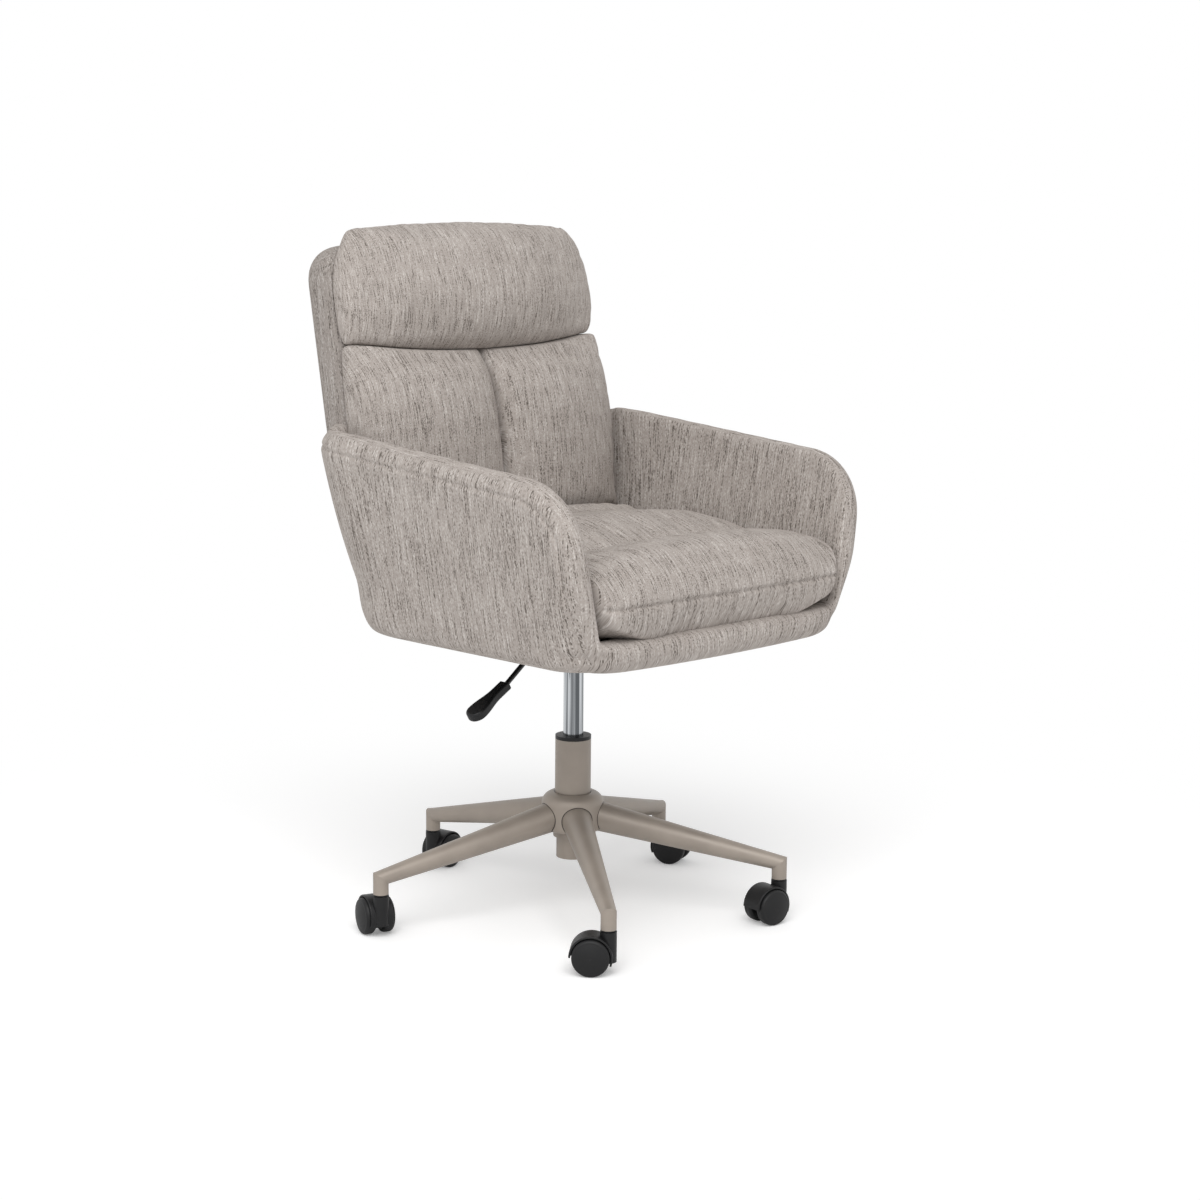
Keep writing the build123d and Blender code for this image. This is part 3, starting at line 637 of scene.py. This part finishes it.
def dress(piece, material):
    """Gives a piece its finish."""
    piece.data.materials.clear()
    piece.data.materials.append(material)


def upholster(piece, finish, fill, *nodes):
    """A finished soft piece rides on the seat in place of its CAD solids."""
    piece.data.shade_smooth()
    dress(piece, finish)
    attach(piece, "seat")
    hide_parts(*nodes)


# Places on the arms' crests and on the reclined back
def crest_z(points):
    """Height of the arm crests' plane over each point."""
    return arm_crest_height + points[:, 1] * arm_crest_slope


def along_back(points):
    """Height along the reclined back."""
    return points[:, 1] * math.sin(back_recline) + points[:, 2] * math.cos(back_recline)


def depth_on_back(points):
    """Depth in front of the back shell's face."""
    face_y = shell_front_y + (points[:, 2] - tub_foot_z) * math.tan(back_recline)
    return (face_y - points[:, 1]) * math.cos(back_recline)


def slide(points, amount):
    """Moves points along the reclined back."""
    step = np.array([0, math.sin(back_recline), math.cos(back_recline)])
    return points + step * np.asarray(amount)[..., None]


# Tub: arms, front rail and the back shell's rear wall as one upholstered shell
def crest_cut(piece, keep_above):
    """Cuts a mesh along the plane of the arm crests, keeps one side and closes it."""
    mesh = bmesh.new()
    mesh.from_mesh(piece.data)
    cut(
        mesh,
        (0, 0, arm_crest_height),
        (0, -arm_crest_slope, 1),
        clear_inner=keep_above,
        clear_outer=not keep_above,
    )
    bmesh.ops.holes_fill(mesh, edges=[edge for edge in mesh.edges if edge.is_boundary])
    mesh.to_mesh(piece.data)
    mesh.free()


def round_foot_corners(points):
    """Rounds the tub's front corners, seen from above, most at the foot."""
    lift = points[:, 2] - tub_foot_z
    easing = smooth_step(0, corner_round_rise, lift)
    radius = foot_corner_round + (high_corner_round - foot_corner_round) * easing
    out_x = np.abs(points[:, 0]) - (tub_foot_half + lift * arm_flare - radius)
    out_y = tub_front_y + lift * tub_front_lean + radius - points[:, 1]
    pull = past_round(out_x, out_y, radius)
    moved = points.copy()
    moved[:, 0] -= np.sign(points[:, 0]) * out_x * pull
    moved[:, 1] += out_y * pull
    return moved


def lift_foot_corners(points):
    """Rounds the tub's front corners off below and bows the rail's foot."""
    core = foot_corner_round - foot_edge_round
    aside = np.abs(points[:, 0]) - tub_foot_half + foot_corner_round
    ahead = tub_front_y + foot_corner_round - points[:, 1]
    reach = np.maximum(np.hypot(aside, ahead), least_divisor)
    out = reach - core
    down = tub_foot_z + foot_edge_round - points[:, 2]
    in_corner = (aside > 0) & (ahead > 0)
    sector = np.where(in_corner, np.clip(2 * aside * ahead / reach**2, 0, 1), 0)
    pull = past_round(out, down, foot_edge_round) * sector
    moved = points.copy()
    moved[:, 0] -= np.sign(points[:, 0]) * aside / reach * out * pull
    moved[:, 1] += ahead / reach * out * pull
    moved[:, 2] += down * pull
    low = 1 - smooth_step(*rail_foot_z, points[:, 2])
    front = 1 - smooth_step(*rail_front_y, points[:, 1])
    bow = np.clip(1 - (points[:, 0] / rail_bow_half) ** 2, 0, 1)
    moved[:, 2] -= rail_bow_down * low * front * bow
    return moved


def wall_swell(points, facing):
    """How far the padding pushes the tub's outer walls out, most half way up and at the rear corners."""
    rise = np.clip((points[:, 2] - tub_foot_z) / (crest_z(points) - tub_foot_z), 0, 1)
    middle = np.sin(np.pi * rise)
    away = points[:, :2] - tub_middle
    away /= np.linalg.norm(away, axis=1, keepdims=True)
    outward = smooth_step(*wall_facing, (away * facing[:, :2]).sum(1))
    rear = smooth_step(*rear_start_y, points[:, 1])
    above_foot = smooth_step(*foot_swell_z, points[:, 2])
    filled = middle * (side_swell + rear_swell * rear)
    foot = rear * (foot_swell - foot_swell_drop * above_foot)
    return outward * (filled + foot)


def arm_rim_distance(points):
    """Distance inside the arm's side outline, seen from the side."""
    below_crest = crest_z(points) - points[:, 2]
    behind_front = points[:, 1] - tub_front_y
    in_nose = (behind_front < arm_nose_round) & (below_crest < arm_nose_round)
    round_gap = arm_nose_round - np.hypot(arm_nose_round - behind_front, arm_nose_round - below_crest)
    return np.where(in_nose, round_gap, np.minimum(below_crest, behind_front))


def tub_weave(tub, points):
    """Threads run up the arms' panels and over their rims, and up the tub's front and rear."""
    lift = points[:, 2] - tub_foot_z
    across = points[:, 0] - np.sign(points[:, 0]) * lift * arm_flare
    side = points[:, 1] - lift * math.tan(back_recline) * smooth_step(*rear_lean_y, points[:, 1])
    panel = np.abs(normals(tub.data)[:, 0]) > panel_facing
    along = points[:, 2] + np.where(panel, 0, points[:, 1])
    weave(tub, np.where(panel, 0, across), np.where(panel, side, 0), along)


def make_tub():
    """Cover over the arms, the front rail and the lower part of the back shell."""
    tub = cad_copy("tub_cover", "back_shell")
    crest_cut(tub, keep_above=False)
    join_into(tub, cad_copy("walls", "arm_left", "arm_right", "front_rail"))
    remesh(tub)
    soften(tub, rounds=6)
    place(tub.data, round_foot_corners(coords(tub.data)))
    soften(tub, rounds=4)
    place(tub.data, lift_foot_corners(coords(tub.data)))
    soften(tub, rounds=4)
    press(tub, -wall_swell(coords(tub.data), normals(tub.data)))
    soften(tub, rounds=3)
    subdivide(tub)
    points = coords(tub.data)
    outward = smooth_step(*rim_facing, normals(tub.data)[:, 0] * np.sign(points[:, 0]))
    press(tub, seam_depth * bell(arm_rim_distance(points) - rim_seam_inset, seam_width) * outward)
    tub_weave(tub, points)
    upholster(tub, cloth_finish, tub_fill, "arm_left", "arm_right", "front_rail")


def make_back_panel():
    """Cover over the back shell above the arms, tucked down into the tub."""
    panel = cad_copy("back_panel", "back_shell")
    crest_cut(panel, keep_above=True)
    points = coords(panel.data)
    at_cut = points[:, 2] - crest_z(points) < cut_reach
    points[at_cut] = slide(points[at_cut], -panel_tuck)
    place(panel.data, points)
    remesh(panel)
    soften(panel, rounds=10)
    subdivide(panel)
    points = coords(panel.data)
    weave(panel, points[:, 0], points[:, 1] - points[:, 2] * math.tan(back_recline), points[:, 2])
    upholster(panel, shell_finish, tub_fill, "back_shell")


# Seat cushion
def channel_seam(points, facing):
    """Distance from the sewn channel across the seat, and how far a point is on the seat's top."""
    return points[:, 1] - seat_channel_y, smooth_step(*top_facing, facing[:, 2])


def front_seam(points, facing):
    """Distance from the seam along the seat's front, and how far a point is on that front."""
    return points[:, 2] - seat_seam_z, smooth_step(*front_facing, -facing[:, 1])


def round_nose(points, run, height, power):
    """Draws points ahead of a nose's centre line back onto its round section, above or below the seam."""
    ahead = np.maximum(seat_front_y + run - points[:, 1], 0) / run
    rise = (points[:, 2] - seat_seam_z) / height
    reach = (ahead**power + np.abs(rise) ** power) ** (1 / power)
    outside = (ahead > 0) & (rise > 0) & (reach > 1)
    shrink = np.where(outside, 1 / np.maximum(reach, least_divisor), 1.0)
    moved = points.copy()
    moved[:, 1] = np.where(outside, seat_front_y + run - ahead * run * shrink, points[:, 1])
    moved[:, 2] = np.where(outside, seat_seam_z + rise * height * shrink, points[:, 2])
    return moved


def shape_seat_front(points):
    """Lowers the seat's front in the middle, lifts its corners and rounds its nose and underside."""
    aside = np.abs(points[:, 0])
    inside = 1 - smooth_step(*seat_middle_x, aside)
    corner = smooth_step(*seat_corner_x, aside)
    ahead = 1 - smooth_step(*seat_front_zone_y, points[:, 1])
    below = np.minimum(points[:, 2] - seat_seam_z, 0)
    moved = points.copy()
    moved[:, 2] += below * (seat_front_stretch * inside - seat_corner_lift * corner) * ahead
    nose_height = seat_nose_height * (1 - seat_nose_corner_loss * corner)
    moved = round_nose(moved, seat_nose_run, nose_height, seat_nose_power)
    underside_height = seat_underside_height * (1 - seat_underside_corner_loss * corner)
    return round_nose(moved, seat_underside_run, -underside_height, seat_underside_power)


def rear_crest(points, facing):
    """How far the seat's top rises in front of the back pad, less at its sides."""
    crest = bell(points[:, 1] - seat_crest_y, seat_crest_width)
    crest *= 1 - smooth_step(*seat_crest_end_y, points[:, 1])
    sides = smooth_step(*seat_crest_side_x, np.abs(points[:, 0]))
    upward = smooth_step(*top_facing, facing[:, 2])
    return seat_crest_rise * crest * upward * (1 - seat_crest_side_loss * sides)


def seat_stitching(points, facing):
    """Depth of the sewn channel and the front seam, with puckers along both."""
    channel, top = channel_seam(points, facing)
    nose, front = front_seam(points, facing)
    grooves = channel_depth * bell(channel, channel_width) * top
    grooves += nose_seam_depth * bell(nose, seam_width) * front
    drift = pucker_drift * np.sin(points[:, 0] * pucker_drift_rate)
    ripple = np.sin(2 * np.pi * points[:, 0] / pucker_pitch + drift)
    near = bell(channel, channel_pucker_width) * top + bell(nose, nose_pucker_width) * front
    return grooves + pucker_depth * ripple * near


def make_seat():
    """Seat cushion, puffed up between its sewn channel and its foot."""
    seat = cad_copy("seat_pad", "seat_cushion")
    remesh(seat)
    soften(seat, rounds=6)
    place(seat.data, shape_seat_front(coords(seat.data)))
    soften(seat, rounds=5)
    press(seat, np.full(len(seat.data.vertices), seat_inset))
    points = coords(seat.data)
    channel, top = channel_seam(points, normals(seat.data))
    low = 1 - smooth_step(*seat_sewn_foot_z, points[:, 2])
    held = np.clip(bell(channel, channel_hold_width) * top + low, 0, 1)
    puff(seat, held, seat_puff_cap, seat_puff_slack)
    soften(seat, rounds=2)
    fit(seat, "seat_cushion")
    points = coords(seat.data)
    points[:, 2] += rear_crest(points, normals(seat.data))
    place(seat.data, points)
    subdivide(seat)
    points = coords(seat.data)
    press(seat, seat_stitching(points, normals(seat.data)))
    weave(seat, points[:, 0], np.zeros(len(points)), points[:, 1] + points[:, 2])
    upholster(seat, cloth_finish, seat_fill, "seat_cushion")


# Back cushion and head roll
def back_weave(piece):
    """Threads run up the front of a back pad, round its sides and over its ends."""
    points = coords(piece.data)
    along = along_back(points)
    depth = depth_on_back(points)
    band = np.floor((along - along.min()) / weave_band_height).astype(int)
    fronts = np.zeros(band.max() + 1)
    np.maximum.at(fronts, band, depth)
    band_middles = along.min() + (np.arange(len(fronts)) + 0.5) * weave_band_height
    behind_front = np.interp(along, band_middles, fronts) - depth
    round_side = np.clip(points[:, 0] / weave_side_half, -1, 1) * behind_front
    middle = (along.min() + along.max()) / 2
    over = 2 * smooth_step(middle - weave_end_reach, middle + weave_end_reach, along) - 1
    weave(piece, points[:, 0] + round_side, np.zeros(len(points)), along + (depth.max() - depth) * over)


def sag_at_crease(piece, above):
    """Bows the crease between head roll and back pad down in the middle, on the side above or below it."""
    points = coords(piece.data)
    along = along_back(points)
    away = along - along.min() if above else along.max() - along
    middle = 1 - np.clip(np.abs(points[:, 0]) / crease_half, 0, 1) ** crease_power
    front = smooth_step(0, crease_depth, depth_on_back(points))
    share = middle * (1 - smooth_step(0, crease_reach, away)) * front
    place(piece.data, slide(points, -crease_sag * share))


def round_head_corners(points):
    """Rounds the head roll's upper corners, seen from the front."""
    aside = np.abs(points[:, 0])
    along = along_back(points)
    out_x = aside - aside.max() + head_corner_round
    out_up = along - along.max() + head_corner_round
    pull = past_round(out_x, out_up, head_corner_round)
    moved = points.copy()
    moved[:, 0] -= np.sign(points[:, 0]) * out_x * pull
    return slide(moved, -out_up * pull)


def arch_head_top(points):
    """Lowers the head roll's top toward its ends."""
    along = along_back(points)
    crest = smooth_step(-head_arch_run, 0, along - along.max())
    return slide(points, -head_top_arch * crest * (points[:, 0] / head_arch_half) ** 2)


def make_head():
    """Head roll, sewn down at its rear and along the crease."""
    head = cad_copy("head_roll", "head_pad")
    remesh(head)
    soften(head, rounds=5)
    place(head.data, round_head_corners(coords(head.data)))
    soften(head, rounds=4)
    points = coords(head.data)
    along = along_back(points)
    free = smooth_step(*sewn_rear_depth, depth_on_back(points))
    free *= smooth_step(*head_sewn_foot, along - along.min())
    puff(head, 1 - free, back_puff_cap, back_puff_slack)
    soften(head, rounds=2)
    fit(head, "head_pad")
    place(head.data, arch_head_top(coords(head.data)))
    sag_at_crease(head, above=True)
    subdivide(head)
    back_weave(head)
    upholster(head, cloth_finish, back_fill, "head_pad")


def sew_centre(pad):
    """Cuts the slit of the centre seam into the back pad and rolls the two panels into it."""
    lean = Vector((-1, 0, -centre_seam_lean / centre_seam_rise)).normalized()
    foot = Vector(centre_seam_foot)
    mesh = bmesh.new()
    mesh.from_mesh(pad.data)
    for offset in centre_seam_cuts:
        cut(mesh, foot + lean * offset * centre_seam_width, lean)
    mesh.to_mesh(pad.data)
    mesh.free()
    points = coords(pad.data)
    beside = (points - np.array(foot)) @ np.array(lean)
    slit = centre_seam_depth * bell(beside, centre_seam_width)
    roll = centre_roll_depth * bell(beside, centre_roll_width)
    points[:, 1] += (slit + roll) * smooth_step(*pad_front_depth, depth_on_back(points))
    place(pad.data, points)


def make_back_pad():
    """Back cushion of two panels, sewn down at its rear, along the crease and along its centre."""
    pad = cad_copy("back_pad", "back_cushion")
    remesh(pad)
    soften(pad, rounds=5)
    points = coords(pad.data)
    along = along_back(points)
    free = smooth_step(*sewn_rear_depth, depth_on_back(points))
    free *= smooth_step(*pad_sewn_top, along.max() - along)
    front = smooth_step(*front_facing, -normals(pad.data)[:, 1])
    free *= 1 - bell(points[:, 0] - centre_hold_x, centre_hold_width) * front
    puff(pad, 1 - free, back_puff_cap, back_puff_slack)
    soften(pad, rounds=2)
    fit(pad, "back_cushion")
    place(pad.data, coords(pad.data) * (1 + pad_side_swell, 1, 1))
    sag_at_crease(pad, above=False)
    subdivide(pad)
    sew_centre(pad)
    back_weave(pad)
    upholster(pad, cloth_finish, back_fill, "back_cushion")


make_tub()
make_back_panel()
make_seat()
make_head()
make_back_pad()

# Rigid CAD pieces keep their shape and take their finishes
for entry in frame["record"]["subparts"]:
    part = frame["nodes"][entry["node"]]
    if entry["material_slot"] in finishes:
        dress(part, finishes[entry["material_slot"]])
        part.data.shade_smooth()
dress(frame["nodes"]["base_hub"], hub_finish)


# Stage: floor, light and camera
def make_floor():
    """Pale floor that keeps the chair's soft shadow and fades to white away from it."""
    material, tree, output = new_material("pale_floor")
    position = node(tree, "ShaderNodeNewGeometry").outputs["Position"]
    seen = node(tree, "ShaderNodeLightPath").outputs["Is Camera Ray"]
    paper = node(tree, "ShaderNodeBsdfDiffuse", {"Color": (floor_grey, floor_grey, floor_grey, 1)})
    lift = node(tree, "ShaderNodeEmission", {"Strength": math_of(tree, "MULTIPLY", seen, floor_lift)})
    lit = node(tree, "ShaderNodeAddShader", {0: paper.outputs[0], 1: lift.outputs[0]})
    white = node(tree, "ShaderNodeEmission", {"Strength": white_strength})
    away = ramp(tree, vector_of(tree, "LENGTH", position), *floor_fade)
    blend = node(tree, "ShaderNodeMixShader", {0: away, 1: lit.outputs[0], 2: white.outputs[0]})
    tree.links.new(blend.outputs[0], output.inputs["Surface"])
    mesh = bpy.data.meshes.new("floor")
    corners = [(x * floor_half, y * floor_half, 0) for x, y in ((-1, -1), (1, -1), (1, 1), (-1, 1))]
    mesh.from_pydata(corners, [], [(0, 1, 2, 3)])
    floor = bpy.data.objects.new("floor", mesh)
    link(floor)
    mesh.materials.append(material)


def make_world():
    """White to the camera and in reflections, and a softer light on the chair."""
    world = bpy.data.worlds.new("studio")
    world.use_nodes = True
    tree = world.node_tree
    tree.nodes.clear()
    rays = node(tree, "ShaderNodeLightPath").outputs
    seen = math_of(tree, "MAXIMUM", rays["Is Camera Ray"], rays["Is Transmission Ray"])
    seen = math_of(tree, "MAXIMUM", seen, rays["Is Glossy Ray"])
    plain = node(tree, "ShaderNodeBackground", {"Color": (1, 1, 1, 1), "Strength": sky_strength})
    white = node(tree, "ShaderNodeBackground", {"Color": (1, 1, 1, 1), "Strength": white_strength})
    blend = node(tree, "ShaderNodeMixShader", {0: seen, 1: plain.outputs[0], 2: white.outputs[0]})
    output = node(tree, "ShaderNodeOutputWorld")
    tree.links.new(blend.outputs[0], output.inputs["Surface"])
    bpy.context.scene.world = world


def make_lamp(name, place_at, size, power):
    """Square soft light aimed at the chair."""
    data = bpy.data.lights.new(name, "AREA")
    data.shape = "SQUARE"
    data.size = size
    data.energy = power
    lamp = bpy.data.objects.new(name, data)
    lamp.location = place_at
    lamp.rotation_euler = (Vector(lamp_aim) - Vector(place_at)).to_track_quat("-Z", "Y").to_euler()
    link(lamp)


def make_camera():
    """Camera at the photograph's place, turned by its yaw, pitch and roll from facing the chair's axis."""
    azimuth = math.radians(camera_azimuth)
    yaw = math.radians(camera_yaw)
    pitch = math.radians(camera_pitch)
    roll = math.radians(camera_roll)
    level = Vector((-math.sin(azimuth), math.cos(azimuth), 0))
    aside = Vector((math.cos(azimuth), math.sin(azimuth), 0))
    at = Vector((0, 0, camera_height)) - level * camera_distance
    turned = level * math.cos(yaw) + aside * math.sin(yaw)
    right = aside * math.cos(yaw) - level * math.sin(yaw)
    forward = turned * math.cos(pitch) - Vector((0, 0, 1)) * math.sin(pitch)
    up = right.cross(forward)
    right, up = right * math.cos(roll) + up * math.sin(roll), up * math.cos(roll) - right * math.sin(roll)
    data = bpy.data.cameras.new("camera")
    data.lens = camera_lens
    data.sensor_width = camera_sensor
    camera = bpy.data.objects.new("camera", data)
    basis = Matrix((right, up, -forward)).transposed().to_4x4()
    camera.matrix_world = Matrix.Translation(at) @ basis
    link(camera)
    bpy.context.scene.camera = camera


make_floor()
make_world()
make_lamp("key", key_place, key_size, key_power)
make_lamp("fill", fill_place, fill_size, fill_power)
make_camera()
bpy.context.scene.view_settings.view_transform = "Standard"
